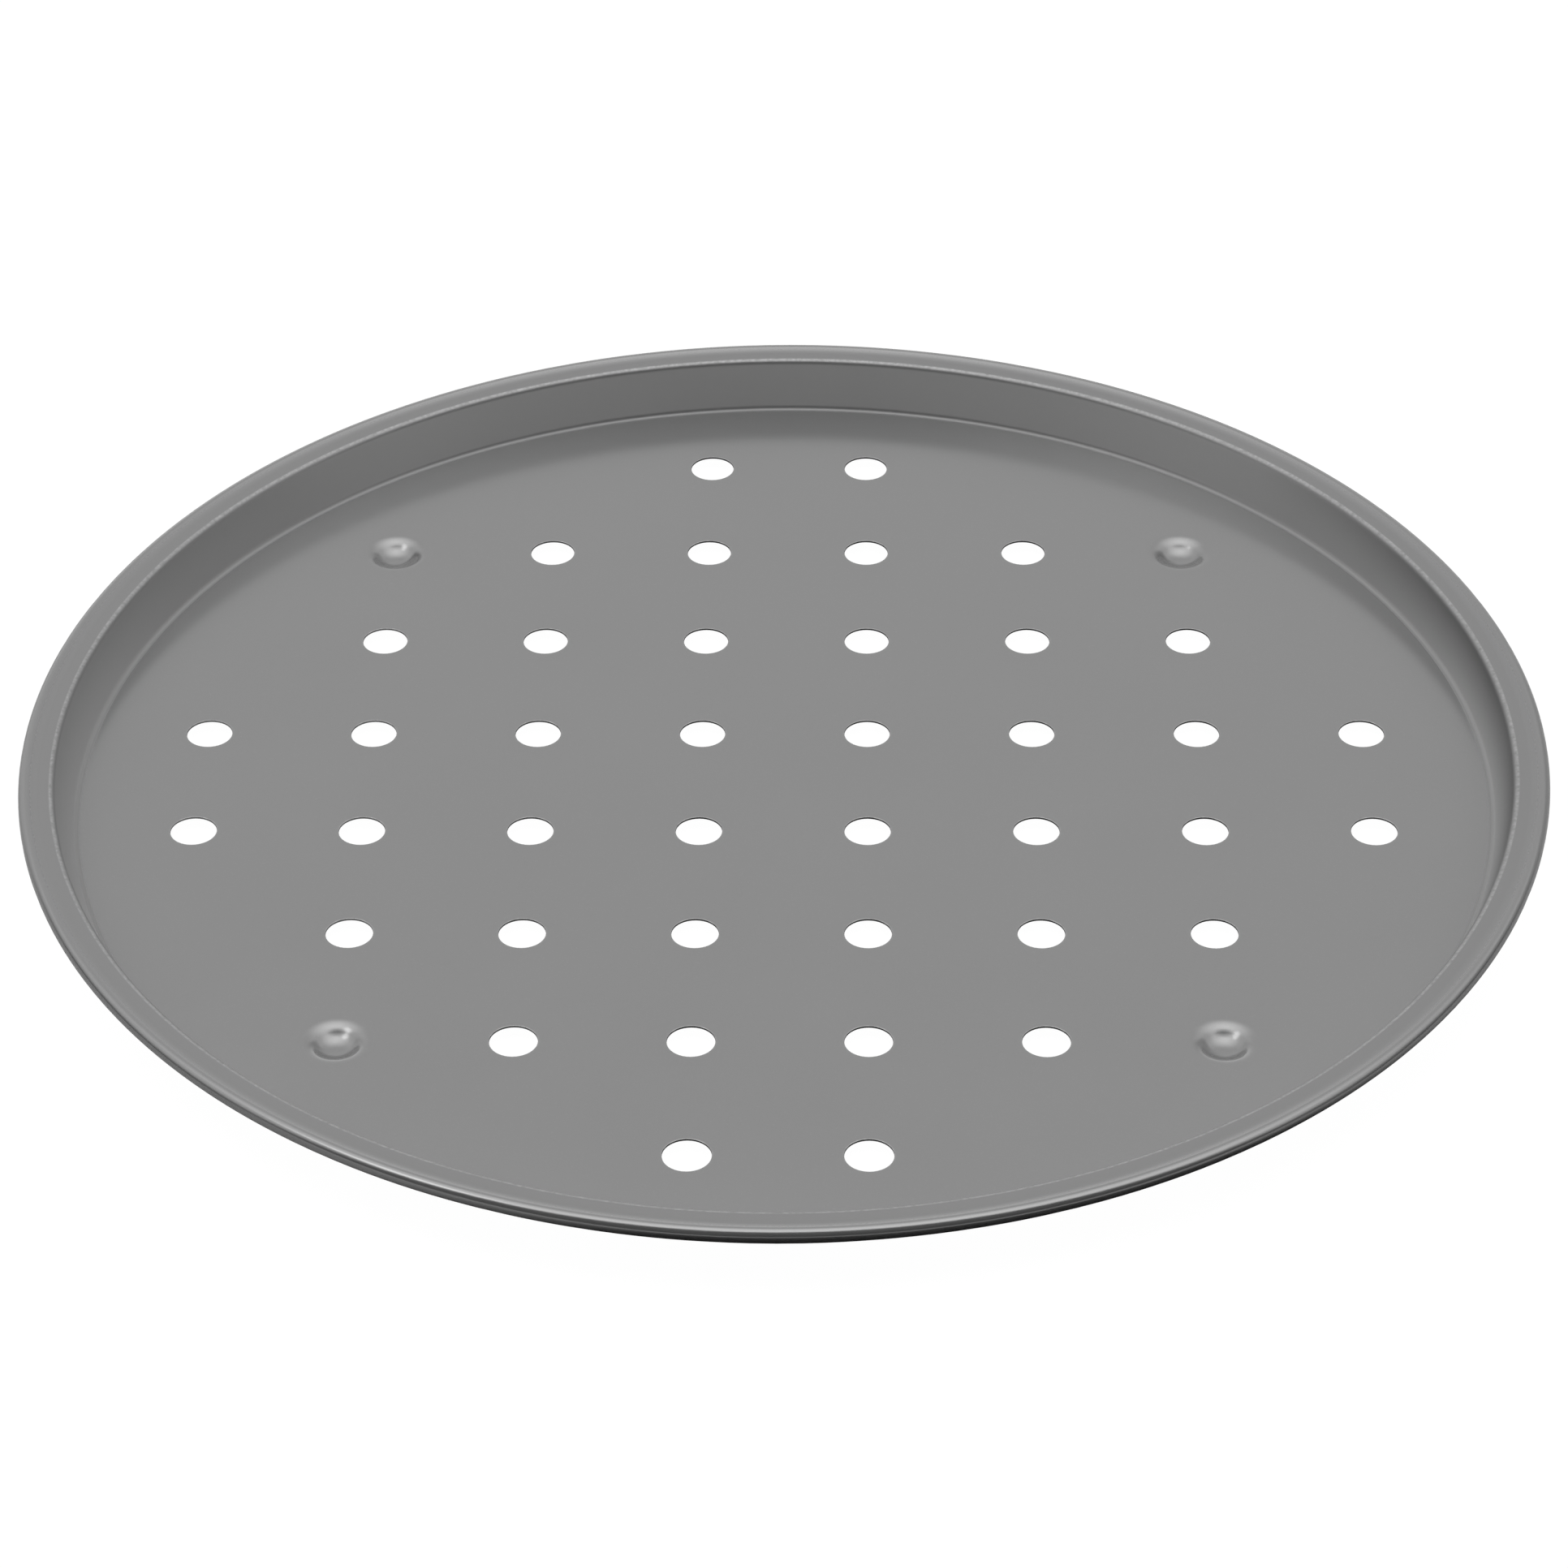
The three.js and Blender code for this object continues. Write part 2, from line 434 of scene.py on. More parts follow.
@dataclass
class SheetSection:
    """The section of a bent sheet, drawn outward from an axis along the middle of the sheet.

    Attributes:
        gauge: thickness of the sheet.
        height: height at which the middle line starts on the axis.
        facet: largest turn of one step of a bend, in radians.
        guard: length at each end of a straight stretch that gets a point of its own, so that its shading
            stays flat.
        mark: a point of the middle line that is noted on the way.
        radii: distances of the middle line's points from the axis, one array for each stretch.
        heights: of the same points.
        headings: of the sheet at the same points, in radians.
    """

    gauge: float
    height: float
    facet: float = math.radians(9.0)
    guard: float = 0.25 * MILLIMETRE
    mark: np.ndarray | None = None
    radii: list[np.ndarray] = field(default_factory=list)
    heights: list[np.ndarray] = field(default_factory=list)
    headings: list[np.ndarray] = field(default_factory=list)

    def __post_init__(self) -> None:
        """Starts on the axis, heading straight outward."""
        self.at = np.array([0.0, self.height])
        self.heading = 0.0
        self._note(np.zeros(1), np.full(1, self.height), np.zeros(1))

    def _note(self, radii: np.ndarray, heights: np.ndarray, headings: np.ndarray) -> None:
        """Adds points to the middle line.

        Args:
            radii: distances of the points from the axis.
            heights: of the points.
            headings: of the sheet at the points.
        """
        self.radii.append(radii)
        self.heights.append(heights)
        self.headings.append(headings)

    def middle_radius(self, inner_radius: float) -> float:
        """Radius of a bend's middle line from the radius on its inner face."""
        return inner_radius + self.gauge / 2

    def step(self, rise: float, first_radius: float, second_radius: float) -> None:
        """Climbs to a higher level by two opposite bends of the same angle.

        The angle is the one at which the two bends together climb the rise.

        Args:
            rise: between the two levels.
            first_radius: inner radius of the upward bend.
            second_radius: inner radius of the bend that levels the sheet again.
        """
        radii = self.middle_radius(first_radius) + self.middle_radius(second_radius)
        angle = math.acos(1 - rise / radii)
        self.bend(angle, first_radius)
        self.bend(-angle, second_radius)

    def straight(self, length: float) -> None:
        """Goes straight on: points at the guards and at the end.

        Args:
            length: of the straight stretch.
        """
        guard = min(self.guard, length / 3)
        along = np.array([guard, length - guard, length])
        direction = np.array([math.cos(self.heading), math.sin(self.heading)])
        points = self.at + along[:, None] * direction
        self._note(points[:, 0], points[:, 1], np.full(len(along), self.heading))
        self.at = points[-1]

    def bend(self, angle: float, inner_radius: float) -> None:
        """Turns up by a positive angle or down by a negative one, on an arc of the middle line.

        With s the side of the turn, a point at heading h is the start plus s times the middle radius times
        (sin h - sin start, cos start - cos h).

        Args:
            angle: of the turn, in radians.
            inner_radius: radius on the inner face of the bend.
        """
        steps = math.ceil(abs(angle) / self.facet)
        headings = self.heading + angle * np.arange(1, steps + 1) / steps
        reach = math.copysign(self.middle_radius(inner_radius), angle)
        radii = self.at[0] + reach * (np.sin(headings) - math.sin(self.heading))
        heights = self.at[1] + reach * (math.cos(self.heading) - np.cos(headings))
        self._note(radii, heights, headings)
        self.at = np.array([radii[-1], heights[-1]])
        self.heading = float(headings[-1])

    def face(self, side: Face) -> np.ndarray:
        """Points on one face: the middle line moved square to its heading by half the gauge.

        Args:
            side: which face.

        Returns:
            Radius and height of each point, outward from the axis.
        """
        heading = np.concatenate(self.headings)
        offset = side.value * self.gauge / 2
        radii = np.concatenate(self.radii) - offset * np.sin(heading)
        heights = np.concatenate(self.heights) + offset * np.cos(heading)
        return np.stack([radii, heights], axis=1)

    def rounded_end(self, steps: int = 8) -> np.ndarray:
        """Points of the free edge, a half circle from the upper face round to the under face.

        Args:
            steps: number of steps in the half circle.

        Returns:
            Radius and height of each point between the two faces.
        """
        turn = self.heading + math.pi / 2 - math.pi * np.arange(1, steps) / steps
        return self.at + self.gauge / 2 * np.stack([np.cos(turn), np.sin(turn)], axis=1)


@dataclass
class MeshParts:
    """Strips of quads that together make one closed surface.

    Attributes:
        vertices: points of each strip.
        quads: corners of each strip's quads, as numbers of points.
        wear: share of wear at each point.
        drawn: work of the press at each point.
        count: number of points so far.
    """

    vertices: list[np.ndarray] = field(default_factory=list)
    quads: list[np.ndarray] = field(default_factory=list)
    wear: list[np.ndarray] = field(default_factory=list)
    drawn: list[np.ndarray] = field(default_factory=list)
    count: int = 0

    def add_strip(self, rings: np.ndarray, wear: np.ndarray, drawn: np.ndarray | float = 0.0) -> None:
        """Adds a closed strip: each quad joins two neighbours along a ring with two on the next ring.

        Args:
            rings: points as an array of copies, points along a ring, rings and 3.
            wear: share of wear on each ring.
            drawn: work of the press on each ring, 0.5 where the sheet is bent and 1 where it is stretched.
        """
        copies, around, across = rings.shape[:3]
        index = self.count + np.arange(copies * around * across).reshape(copies, around, across)
        onward = np.roll(index, -1, axis=1)
        corners = [index[:, :, :-1], onward[:, :, :-1], onward[:, :, 1:], index[:, :, 1:]]
        self.quads.append(np.stack(corners, axis=-1).reshape(-1, 4))
        self.vertices.append(rings.reshape(-1, 3))
        self.wear.append(np.broadcast_to(wear, (copies, around, across)).reshape(-1))
        self.drawn.append(np.broadcast_to(drawn, (copies, around, across)).reshape(-1))
        self.count += index.size

    def build(self, name: str, material: bpy.types.Material) -> bpy.types.Object:
        """Makes the object: strips are welded along their shared points and the faces turned outward.

        Args:
            name: of the object.
            material: its finish.

        Returns:
            The linked object, at the origin.
        """
        mesh = bpy.data.meshes.new(name)
        mesh.from_pydata(np.concatenate(self.vertices), [], np.concatenate(self.quads))
        for attribute, shares in ((WEAR_ATTRIBUTE, self.wear), (DRAWN_ATTRIBUTE, self.drawn)):
            layer = mesh.attributes.new(attribute, "FLOAT", "POINT")
            layer.data.foreach_set("value", np.concatenate(shares).astype(np.float32))
        shell = bmesh.new()
        shell.from_mesh(mesh)
        bmesh.ops.remove_doubles(shell, verts=shell.verts, dist=WELD_DISTANCE)
        bmesh.ops.recalc_face_normals(shell, faces=shell.faces)
        shell.to_mesh(mesh)
        shell.free()
        mesh.shade_smooth()
        mesh.materials.append(material)
        made = bpy.data.objects.new(name, mesh)
        bpy.context.scene.collection.objects.link(made)
        return made


def loft(outline: np.ndarray, section: np.ndarray, share: np.ndarray) -> np.ndarray:
    """Rings between a round section and an outline.

    A ring's points lie in the directions of the outline's points. Each is the section's radius in that
    direction, moved towards the outline's own point by the ring's share, at the section's height.

    Args:
        outline: points of the outline, in order, as an array of points and 2.
        section: radius and height of each ring.
        share: of the outline in each ring, 0 for round and 1 for the outline.

    Returns:
        An array of points along a ring, rings and 3.
    """
    direction = outline / np.linalg.norm(outline, axis=1, keepdims=True)
    round_part = direction[:, None, :] * (section[:, 0] * (1 - share))[None, :, None]
    flat = round_part + outline[:, None, :] * share[None, :, None]
    heights = np.broadcast_to(section[:, 1], flat.shape[:2])
    return np.concatenate([flat, heights[..., None]], axis=2)


@dataclass
class PanSheet:
    """The pressed sheet: floor, holes, feet, wall, flange and curled rim.

    Every bend is given by the radius on its inner face.

    Attributes:
        rim_radius: over the curled rim.
        gauge: thickness of the steel.
        depth: from the floor up to the flange.
        wall_lean: of the wall from upright, in radians.
        floor_bend: at the foot of the wall.
        mouth_bend: at the top of the wall.
        flange_width: of the flat ring between the mouth and the rim's neck.
        crest_rise: from the flange up to the top of the rim.
        neck_bend: where the flange turns up into the curl.
        curl_bend: inside of the curl, the wire's radius and its clearance.
        curl_wrap: angle that the sheet goes on round the wire from the top of the rim.
        hole_radius: of a punched hole.
        hole_rows: rows of the square grid of holes and feet, and columns too.
        plain_border: from the centres of the outermost holes to the edge of the flat floor.
        punch_round: radius left on the edges of a hole.
        punch_steps: steps in the rounding of an edge.
        punch_guard: width round a hole that gets points of its own, in roundings.
        punch_wear: how much more the middle of a hole's rounded edge is worn than its wall.
        hole_wear: how much the wall of a hole is worn.
        foot_depth: of a pressed foot.
        foot_flat_radius: of the flat that a foot stands on.
        foot_bottom_bend: bend at the bottom of a foot.
        foot_shoulder_bend: bend at the top of a foot.
        foot_rub_height: up to which a foot's underside is rubbed by what it stands on.
        edge_guard: least distance between a grid square and the edge of the flat floor.
        mouth_wear: how much the mouth's edge is worn.
        draw_onset: distance over which the stretching by the press sets in at the foot of the wall.
        side_points: points along one side of a grid square.
    """

    rim_radius: float
    gauge: float = 0.5 * MILLIMETRE
    depth: float = 11.4 * MILLIMETRE
    wall_lean: float = math.radians(18)
    floor_bend: float = 1.4 * MILLIMETRE
    mouth_bend: float = 1 * MILLIMETRE
    flange_width: float = 2.1 * MILLIMETRE
    crest_rise: float = 0.5 * MILLIMETRE
    neck_bend: float = 6 * MILLIMETRE
    curl_bend: float = 1.15 * MILLIMETRE
    curl_wrap: float = math.radians(270)
    hole_radius: float = 5 * MILLIMETRE
    hole_rows: int = 8
    plain_border: float = 24.38 * MILLIMETRE
    punch_round: float = 0.14 * MILLIMETRE
    punch_steps: int = 5
    punch_guard: float = 3.0
    punch_wear: float = 0.8
    hole_wear: float = 0.2
    foot_depth: float = 2.45 * MILLIMETRE
    foot_flat_radius: float = 0.75 * MILLIMETRE
    foot_bottom_bend: float = 5.7 * MILLIMETRE
    foot_shoulder_bend: float = 4.25 * MILLIMETRE
    foot_rub_height: float = 0.2 * MILLIMETRE
    edge_guard: float = 1.5 * MILLIMETRE
    mouth_wear: float = 0.65
    draw_onset: float = 0.25 * MILLIMETRE
    side_points: int = 10

    @property
    def floor_middle(self) -> float:
        """Height of the middle of the floor's sheet."""
        return self.foot_depth + self.gauge / 2

    @property
    def floor_top(self) -> float:
        """Height of the floor's upper face."""
        return self.foot_depth + self.gauge

    def section(self, flat_radius: float) -> SheetSection:
        """The pan's section from its axis to the free edge tucked under the curl.

        Args:
            flat_radius: of the flat floor.

        Returns:
            The section, with its mark on the top of the rim.
        """
        drawn = SheetSection(self.gauge, self.floor_middle)
        turn = math.pi / 2 - self.wall_lean
        bends = drawn.middle_radius(self.floor_bend) + drawn.middle_radius(self.mouth_bend)
        wall_height = self.depth - bends * (1 - math.cos(turn))
        drawn.straight(flat_radius)
        drawn.bend(turn, self.floor_bend)
        drawn.straight(wall_height / math.cos(self.wall_lean))
        drawn.bend(-turn, self.mouth_bend)
        drawn.straight(self.flange_width)
        drawn.step(self.crest_rise, self.neck_bend, self.curl_bend)
        drawn.mark = drawn.at.copy()
        drawn.bend(-self.curl_wrap, self.curl_bend)
        return drawn

    def wall_run(self) -> float:
        """Distance outward from the edge of the flat floor to the mouth.

        A bend goes outward by its middle radius times the cosine of the lean, and the straight wall by its
        rise times the tangent of the lean.

        Returns:
            The distance.
        """
        drawn = SheetSection(self.gauge, self.floor_middle)
        bends = drawn.middle_radius(self.floor_bend) + drawn.middle_radius(self.mouth_bend)
        straight_rise = self.depth - bends * (1 - math.sin(self.wall_lean))
        return bends * math.cos(self.wall_lean) + straight_rise * math.tan(self.wall_lean)

    def flat_radius(self) -> float:
        """Radius of the flat floor: what the wall and the rim leave of the rim's radius."""
        rim_reach = self.section(TRIAL_RADIUS).face(Face.UPPER)[:, 0].max()
        return self.rim_radius - rim_reach + TRIAL_RADIUS

    def foot_section(self) -> SheetSection:
        """A foot's section: two opposite bends carry the sheet from the foot's flat up to the floor.

        Returns:
            The section, from the foot's own axis to just outside its shoulder.
        """
        drawn = SheetSection(self.gauge, self.gauge / 2)
        drawn.straight(self.foot_flat_radius)
        drawn.step(self.foot_depth, self.foot_bottom_bend, self.foot_shoulder_bend)
        drawn.straight(drawn.guard)
        return drawn

    def grid_lines(self) -> np.ndarray:
        """Places of the rows in pitches, centred on the pan's axis."""
        return np.arange(self.hole_rows) - (self.hole_rows - 1) / 2

    def grid_reach(self) -> float:
        """Distance in pitches from the axis to the middle holes of the outermost rows."""
        lines = np.abs(self.grid_lines())
        return math.hypot(lines.max(), lines.min())

    @property
    def hole_pitch(self) -> float:
        """Pitch of the grid, such that the outermost holes leave the plain border."""
        return (self.flat_radius() - self.plain_border) / self.grid_reach()

    def grid_places(self) -> np.ndarray:
        """Finds the places of the square grid inside the plain border.

        Returns:
            Column and row of each place, in pitches.
        """
        lines = self.grid_lines()
        places = np.stack(np.meshgrid(lines, lines), axis=-1).reshape(-1, 2)
        distance = np.linalg.norm(places, axis=1)
        return places[distance < self.grid_reach() * (1 + ROUNDING)]

    def drawn_in(self, points: np.ndarray) -> np.ndarray:
        """Moves points that lie beyond the flat floor straight in to just inside its edge.

        Args:
            points: an array whose last axis holds X and Y.

        Returns:
            The moved points.
        """
        limit = self.flat_radius() - self.edge_guard
        distance = np.linalg.norm(points, axis=-1, keepdims=True)
        return points * (limit / np.maximum(distance, limit))

    def square(self) -> np.ndarray:
        """Outline of a grid square: directions at even angles, stretched until they meet its side.

        Returns:
            The outline's points, anticlockwise, about the square's own middle.
        """
        angle = 2 * math.pi * np.arange(4 * self.side_points) / (4 * self.side_points)
        direction = np.stack([np.cos(angle), np.sin(angle)], axis=1)
        return direction / np.abs(direction).max(axis=1, keepdims=True) * self.hole_pitch / 2

    def block_outline(self, places: np.ndarray) -> np.ndarray:
        """Stepped outline of all the grid squares together.

        A square's side is on the outline where the grid has no place beyond it. The outline can be seen whole
        from the pan's axis, so sorting its points by angle puts them in order.

        Args:
            places: the grid places.

        Returns:
            The outline's points, anticlockwise.
        """
        square = self.square()
        sides = np.array([[1, 0], [0, 1], [-1, 0], [0, -1]])
        on_side = np.isclose(square @ sides.T, self.hole_pitch / 2)
        beyond = places[:, None, :] + sides
        taken = np.isclose(beyond[:, :, None, :], places).all(axis=-1).any(axis=-1)
        shown = (~taken[:, None, :] & on_side).any(axis=-1)
        points = self.drawn_in((places[:, None, :] * self.hole_pitch + square)[shown])
        points = np.unique(np.round(points, ROUND_DIGITS), axis=0)
        return points[np.argsort(np.arctan2(points[:, 1], points[:, 0]))]

    def hole_section(self) -> tuple[np.ndarray, np.ndarray]:
        """A hole's section, from the upper face down the wall and out on the under face.

        The punched edges are quarter circles: a point at turn t lies inward by the sine of t and down by one
        less the cosine of t, times the rounding. An edge is worn most at its middle.

        Returns:
            Radius and height of each ring, and its wear.
        """
        rounding = self.punch_round
        turn = math.pi / 2 * np.arange(self.punch_steps + 1) / self.punch_steps
        guard = np.array([self.hole_radius + self.punch_guard * rounding])
        inward = self.hole_radius + rounding * (1 - np.sin(turn))
        drop = rounding * (1 - np.cos(turn))
        radii = np.concatenate([guard, guard, inward, inward[::-1], guard, guard])
        top = np.full(2, self.floor_top)
        bottom = np.full(2, self.foot_depth)
        heights = np.concatenate([top, self.floor_top - drop, self.foot_depth + drop[::-1], bottom])
        edge = np.sin(2 * turn) * self.punch_wear + self.hole_wear
        none = np.zeros(2)
        return np.stack([radii, heights], axis=1), np.concatenate([none, edge, edge[::-1], none])

    def add_holes(self, parts: MeshParts, places: np.ndarray) -> None:
        """Adds a grid square with a punched hole at each place.

        Args:
            parts: the surface being made.
            places: grid places of the holes.
        """
        section, wear = self.hole_section()
        share = np.zeros(len(section))
        share[[0, -1]] = 1.0
        self._add_squares(parts, places, section, share, wear)

    def add_feet(self, parts: MeshParts, places: np.ndarray) -> None:
        """Adds a grid square with a pressed foot at each place, as its upper and its under face.

        Args:
            parts: the surface being made.
            places: grid places of the feet.
        """
        drawn = self.foot_section()
        for side in Face:
            face = drawn.face(side)
            section = np.concatenate([face, face[-1:]])
            share = np.zeros(len(section))
            share[-1] = 1.0
            rubbed = 1.0 if side is Face.UNDER else 0.0
            wear = rubbed * (section[:, 1] < self.foot_rub_height)
            self._add_squares(parts, places, section, share, wear)

    def _add_squares(
        self, parts: MeshParts, places: np.ndarray, section: np.ndarray, share: np.ndarray, wear: np.ndarray
    ) -> None:
        """Adds the loft between a round section and a grid square, once at each place.

        Args:
            parts: the surface being made.
            places: the grid places.
            section: radius and height of each ring.
            share: of the square in each ring.
            wear: of each ring.
        """
        rings = loft(self.square(), section, share)
        offset = np.pad(places * self.hole_pitch, ((0, 0), (0, 1)))
        copies = rings[None] + offset[:, None, None, :]
        copies[..., :2] = self.drawn_in(copies[..., :2])
        parts.add_strip(copies, wear)

    def press_work(self, radius: np.ndarray) -> np.ndarray:
        """Work of the press: 0 on the floor and the rim, 0.5 in the bends and the flange, 1 on the wall.

        It is the mean of two shares that rise and fall with the radius: the bent part goes from the edge of
        the floor to the crest of the rim, and the stretched part is the straight wall.

        Args:
            radius: distances from the pan's axis.

        Returns:
            The work at each of them.
        """
        floor_edge = self.flat_radius()
        mouth = floor_edge + self.wall_run()
        neck = mouth + self.flange_width
        wall_start = floor_edge + self.floor_bend * math.cos(self.wall_lean)
        wall_end = mouth - (self.mouth_bend + self.gauge) * math.cos(self.wall_lean)
        onset = self.draw_onset
        crest = self.rim_radius - self.gauge - self.curl_bend
        bent = np.interp(radius, [floor_edge, floor_edge + onset, neck, crest], [0, 1, 1, 0])
        wall = [wall_start - onset, wall_start, wall_end, wall_end + onset]
        stretched = np.interp(radius, wall, [0, 1, 1, 0])
        return (bent + stretched) / 2

    def mouth_rub(self, points: np.ndarray) -> np.ndarray:
        """How far food and hands reach each point of the mouth's rounded edge.

        It falls from 1 at the level of the flange to 0 at a gauge below it, and is 0 outward of the mouth.

        Args:
            points: radius and height of each point.

        Returns:
            The share at each of them.
        """
        flange_top = self.floor_top + self.depth
        mouth = self.flat_radius() + self.wall_run()
        below = np.clip((flange_top - points[:, 1]) / self.gauge, 0.0, 1.0)
        inward = np.clip((mouth - points[:, 0]) / self.draw_onset, 0.0, 1.0)
        return (1 - below) * inward

    def add_rim(self, parts: MeshParts, places: np.ndarray) -> None:
        """Adds the floor's border, the wall, the flange and the curl, as one strip round both faces.

        Args:
            parts: the surface being made.
            places: all the grid places, which the border starts from.
        """
        drawn = self.section(self.flat_radius())
        # The first two points, on the axis and beside it, belong to the grid squares.
        upper = drawn.face(Face.UPPER)[2:]
        under = drawn.face(Face.UNDER)[2:]
        loop = np.concatenate([upper[:1], upper, drawn.rounded_end(), under[::-1], under[:1]])
        share = np.zeros(len(loop))
        share[[0, -1]] = 1.0
        wear = self.mouth_wear * self.mouth_rub(loop)
        rings = loft(self.block_outline(places), loop, share)
        # The press work also places the film's painted light and shade.
        parts.add_strip(rings[None], wear, self.press_work(loop[:, 0]))

    def build(self, finish: CoatedSteelFinish) -> bpy.types.Object:
        """Builds the sheet and dresses it.

        Args:
            finish: its coating.

        Returns:
            The sheet's object, standing for its solid.
        """
        places = self.grid_places()
        corner = np.abs(places).min(axis=1).max()
        is_foot = np.isclose(np.abs(places), corner).all(axis=1)
        parts = MeshParts()
        self.add_holes(parts, places[~is_foot])
        self.add_feet(parts, places[is_foot])
        self.add_rim(parts, places)
        made = parts.build("coated_pan_sheet", finish.material())
        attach(made, BODY)
        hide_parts("pan_sheet")
        log.info("sheet: %d holes, %d feet", (~is_foot).sum(), is_foot.sum())
        return made


@dataclass
class RimWire:
    """The hoop of wire inside the curled rim, butt-welded into a ring.

    Attributes:
        hoop_radius: of the wire's middle line.
        height: of the wire's middle line.
        wire_radius: of the wire.
        weld_bulge: how far the weld stands proud of the wire.
        weld_length: of the weld along the wire.
        weld_crowding: how much closer the points lie at the weld, 0 for evenly spread and 1 for the most.
        around: points round the hoop.
        across: points round the wire.
    """

    hoop_radius: float
    height: float
    wire_radius: float
    weld_bulge: float = 0.12 * MILLIMETRE
    weld_length: float = 1.4 * MILLIMETRE
    weld_crowding: float = 0.9
    around: int = 360
    across: int = 24

    def build(self, finish: DrawnWireFinish) -> bpy.types.Object:
        """Builds the hoop and dresses it.

        The wire's radius is the same all round, but for a bell-shaped swelling at the weld, at the back of
        the pan. Angles lie closer together there, by taking a share of its sine from each even angle.

        Args:
            finish: its steel.

        Returns:
            The hoop's object, standing for its solid.
        """
        even = 2 * math.pi * np.arange(self.around) / self.around
        angle = math.pi / 2 + even - self.weld_crowding * np.sin(even)
        along = self.hoop_radius * np.sin((angle - math.pi / 2) / 2) * 2
        radius = self.wire_radius + self.weld_bulge * np.exp(-((along / self.weld_length) ** 2))
        turn = 2 * math.pi * np.arange(self.across + 1) / self.across
        reach = self.hoop_radius + radius[:, None] * np.cos(turn)
        height = self.height + radius[:, None] * np.sin(turn)
        rings = np.stack([reach * np.cos(angle)[:, None], reach * np.sin(angle)[:, None], height], axis=-1)
        parts = MeshParts()
        parts.add_strip(rings[None], np.zeros(self.across + 1))
        made = parts.build("rim_wire_hoop", finish.material())
        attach(made, BODY)
        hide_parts("rim_wire")
        log.info("wire: hoop of %.1f mm", 2 * self.hoop_radius / MILLIMETRE)
        return made


@dataclass(frozen=True)
class Patch:
    """A lighter or duller patch of the room.

    Attributes:
        strength: of the patch.
        sides: span of the sideways place, from the patch's outside to where it is full.
        heights: span of the height, in the same way.
    """

    strength: float
    sides: Span
    heights: Span

    def level(self, sideways: Socket, up: Socket) -> Socket:
        """The patch's strength times its two shares."""
        return self.strength * (sideways.rising(*self.sides) * up.rising(*self.heights))


@dataclass(frozen=True)
class TentRoom:
    """The light around the pan: a white tent, lighter overhead and on its flanks, dark behind the camera.

    Spans are of a direction's components: across to the right, away from the camera and up from the table.
    The sides of a patch are of across squared, but for the one on the right.

    Attributes:
        tent_level: of the tent beyond the pan.
        front_span: of away, from the dark behind the camera to the tent.
        overhead_gain: how much lighter the tent is overhead.
        overhead_span: of up, for that light.
        overhead_power: how slowly that light sets in.
        flank: lighter tent on the left and on the right, above the low part.
        low_right: share of the light that is missing low down on the right.
        low_sides: share of the light that is missing near the table at both sides.
        low_light: light low down behind the camera.
        low_heights: of up, for that light.
        horizon: lighter tent low down straight beyond the pan.
        horizon_span: of away, for that light.
    """

    tent_level: float = 1.1
    front_span: Span = (-0.38, -0.14)
    overhead_gain: float = 2.5
    overhead_span: Span = (0.66, 1.0)
    overhead_power: float = 1.5
    flank: Patch = Patch(0.5, (0.06, 0.30), (0.40, 0.56))
    low_right: Patch = Patch(0.40, (0.05, 0.50), (0.56, 0.42))
    low_sides: Patch = Patch(0.95, (0.50, 0.85), (0.40, 0.15))
    low_light: float = 0.95
    low_heights: Span = (0.20, 0.10)
    horizon: Patch = Patch(0.4, (0.25, 0.04), (0.36, 0.12))
    horizon_span: Span = (0.3, 0.8)

    def level(self, board: NodeBoard) -> Socket:
        """Strength of the room's light in each direction.

        The tent's level with its overhead and flank light, times what the shades leave, holds in front. The
        low light behind the camera and the light on the horizon are added to it.

        Args:
            board: the world's board.

        Returns:
            The strength.
        """
        direction = board.add("ShaderNodeTexCoord", {}, {}, "Generated")
        across = board.part(direction, "X")
        away = board.part(direction, "Y")
        up = board.part(direction, "Z")
        sideways = across * across
        lit_front = away.rising(*self.front_span)
        overhead = self.overhead_gain * up.rising(*self.overhead_span) ** self.overhead_power
        light = self.tent_level + overhead + self.flank.level(sideways, up)
        shade = (1.0 - self.low_right.level(across, up)) * (1.0 - self.low_sides.level(sideways, up))
        behind = self.low_light * up.rising(*self.low_heights) * (1.0 - lit_front)
        horizon = self.horizon.level(sideways, up) * away.rising(*self.horizon_span)
        return light * lit_front * shade + behind + horizon

    def build(self) -> None:
        """Makes the world: white to the camera, and this room to everything else."""
        world = bpy.data.worlds.new("studio")
        bpy.context.scene.world = world
        world.use_nodes = True
        board = NodeBoard(world.node_tree)
        seen = board.add("ShaderNodeLightPath", {}, {}, "Is Camera Ray")
        strength = seen + (1.0 - seen) * self.level(board)
        sky = board.add("ShaderNodeBackground", {}, {"Color": grey(1.0), "Strength": strength})
        board.node("ShaderNodeOutputWorld", {}, {"Surface": sky})


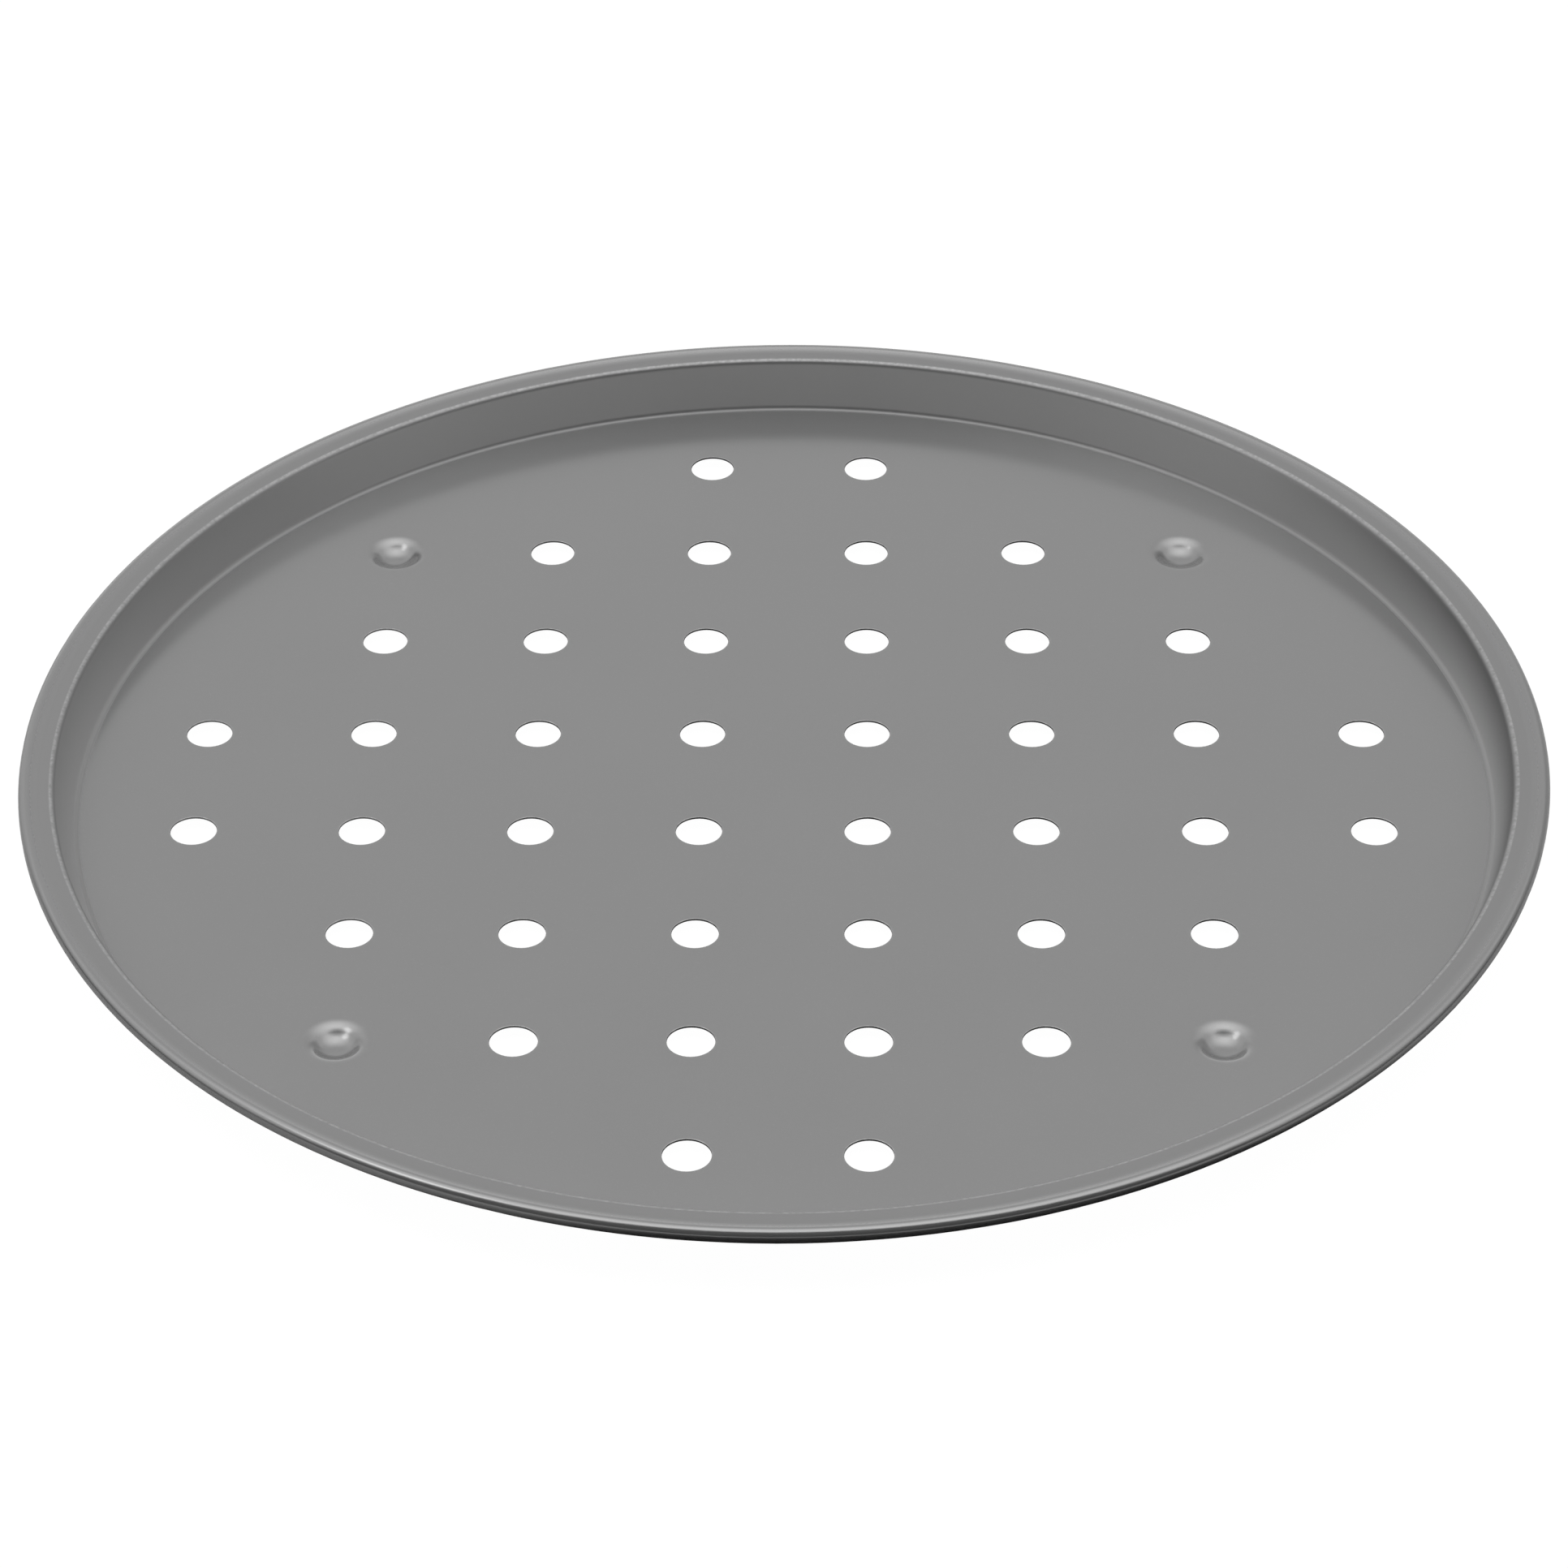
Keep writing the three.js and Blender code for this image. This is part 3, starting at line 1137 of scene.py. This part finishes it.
@dataclass
class Studio:
    """Floor, lamp and camera of a plain white product picture.

    Attributes:
        camera_distance: from the middle of the pan's floor.
        camera_elevation: of the camera above the table, in radians.
        camera_turn: of the camera to the right of straight in front, in radians.
        camera_roll: of the camera about its own line of sight, in radians.
        camera_clip: nearest distance that the camera shows.
        aim_nearer: distance in front of the pan's axis that the camera aims at.
        focal_pixels: focal length in pixels of the photograph.
        sensor_millimetres: width of the camera's sensor.
        floor_width: of the square floor.
        floor_white: diffuse level of the floor in the picture.
        floor_glow: of the paper in the picture, where 1 is white.
        floor_dark: diffuse level of the table that the pan itself mirrors, in front of it.
        floor_side: the same, to the left and right of that.
        left_side: across the floor, from the dark table to its left side.
        right_side: across the floor, from the dark table to its right side.
        shadow_share: share of the floor's picture that takes shadow.
        softbox_place: where the lamp hangs.
        softbox_side: of the square lamp.
        softbox_watts: power of the lamp.
    """

    camera_distance: float = 1.1713
    camera_elevation: float = math.radians(35.78)
    camera_turn: float = math.radians(0.81)
    camera_roll: float = math.radians(-0.46)
    camera_clip: float = 0.05
    aim_nearer: float = 0.9 * MILLIMETRE
    focal_pixels: float = 6627.0
    sensor_millimetres: float = 36.0
    floor_width: float = 8.0
    floor_white: float = 0.86
    floor_glow: float = 1.02
    floor_dark: float = 0.015
    floor_side: float = 0.5
    left_side: Span = (-0.03, -0.10)
    right_side: Span = (0.11, 0.17)
    shadow_share: float = 0.03
    softbox_place: tuple[float, float, float] = (-0.8, -0.15, 1.35)
    softbox_side: float = 0.45
    softbox_watts: float = 1.6

    def add_camera(self, target: Vector) -> None:
        """Adds the camera, at the photograph's place and angle of view.

        Args:
            target: the point in the middle of the picture.
        """
        lens = bpy.data.cameras.new("camera")
        lens.sensor_fit = "HORIZONTAL"
        lens.sensor_width = self.sensor_millimetres
        lens.lens = self.focal_pixels / PHOTO_SIDE_PIXELS * lens.sensor_width
        lens.clip_start = self.camera_clip
        level = math.cos(self.camera_elevation)
        back = Vector(
            (
                level * math.sin(self.camera_turn),
                -level * math.cos(self.camera_turn),
                math.sin(self.camera_elevation),
            )
        )
        camera = bpy.data.objects.new("camera", lens)
        camera.location = target + Vector((0.0, -self.aim_nearer, 0.0)) + back * self.camera_distance
        level_view = (-back).to_track_quat("-Z", "Y")
        camera.rotation_euler = (level_view @ Quaternion((0.0, 0.0, 1.0), self.camera_roll)).to_euler()
        bpy.context.scene.collection.objects.link(camera)
        bpy.context.scene.camera = camera

    def floor_material(self) -> bpy.types.Material:
        """White paper with a faint shadow in the picture, and a dark table in the pan's reflections.

        Returns:
            The material, which reads Object coordinates.
        """
        made = bpy.data.materials.new("white_paper")
        made.use_nodes = True
        board = NodeBoard(made.node_tree)
        paper = board.add("ShaderNodeBsdfDiffuse", {}, {"Color": grey(self.floor_white)})
        across = board.part(board.add("ShaderNodeTexCoord", {}, {}, "Object"), "X")
        beside = across.rising(*self.left_side) + across.rising(*self.right_side)
        table_grey = board.tint(beside, grey(self.floor_dark), grey(self.floor_side))
        table = board.add("ShaderNodeBsdfDiffuse", {}, {"Color": table_grey})
        glow = board.add("ShaderNodeEmission", {}, {"Color": grey(1.0), "Strength": self.floor_glow})
        shown = board.add("ShaderNodeMixShader", {}, {0: self.shadow_share, 1: glow, 2: paper})
        seen = board.add("ShaderNodeLightPath", {}, {}, "Is Camera Ray")
        surface = board.add("ShaderNodeMixShader", {}, {0: seen, 1: table, 2: shown})
        board.node("ShaderNodeOutputMaterial", {}, {"Surface": surface})
        return made

    def add_floor(self) -> None:
        """Adds the square floor that the pan stands on."""
        half = self.floor_width / 2
        corners = np.array([[-half, -half, 0.0], [half, -half, 0.0], [half, half, 0.0], [-half, half, 0.0]])
        mesh = bpy.data.meshes.new("studio_floor")
        mesh.from_pydata(corners, [], [[0, 1, 2, 3]])
        mesh.materials.append(self.floor_material())
        floor = bpy.data.objects.new("studio_floor", mesh)
        bpy.context.scene.collection.objects.link(floor)

    def add_softbox(self, aim: Vector) -> None:
        """Adds the square lamp at the left.

        Args:
            aim: the point that it faces.
        """
        lamp = bpy.data.lights.new("left_softbox", "AREA")
        lamp.size = self.softbox_side
        lamp.energy = self.softbox_watts
        made = bpy.data.objects.new("left_softbox", lamp)
        place = Vector(self.softbox_place)
        made.location = place
        made.rotation_euler = (aim - place).to_track_quat("-Z", "Y").to_euler()
        bpy.context.scene.collection.objects.link(made)

    def build(self, target: Vector) -> None:
        """Sets up the whole studio.

        Args:
            target: the point in the middle of the picture.
        """
        self.add_camera(target)
        self.add_floor()
        TentRoom().build()
        self.add_softbox(target)
        bpy.context.scene.view_settings.view_transform = "Standard"
        log.info("studio: camera %.3f m from the pan", self.camera_distance)


def main() -> None:
    """Builds the pan and its studio, piece by piece."""
    logging.basicConfig(level=logging.INFO, format="%(name)s: %(message)s")
    low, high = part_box("pan_sheet")
    sheet = PanSheet(rim_radius=(high.x - low.x) / 2)
    sheet.build(CoatedSteelFinish())
    _, wire_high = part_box("rim_wire")
    hoop_radius, crest_middle = sheet.section(sheet.flat_radius()).mark
    curl_middle = crest_middle - sheet.gauge / 2 - sheet.curl_bend
    wire = RimWire(float(hoop_radius), float(curl_middle), float(wire_high.x - hoop_radius))
    wire.build(DrawnWireFinish())
    Studio().build(Vector((0.0, 0.0, sheet.floor_top)))


if __name__ == "__main__":
    main()
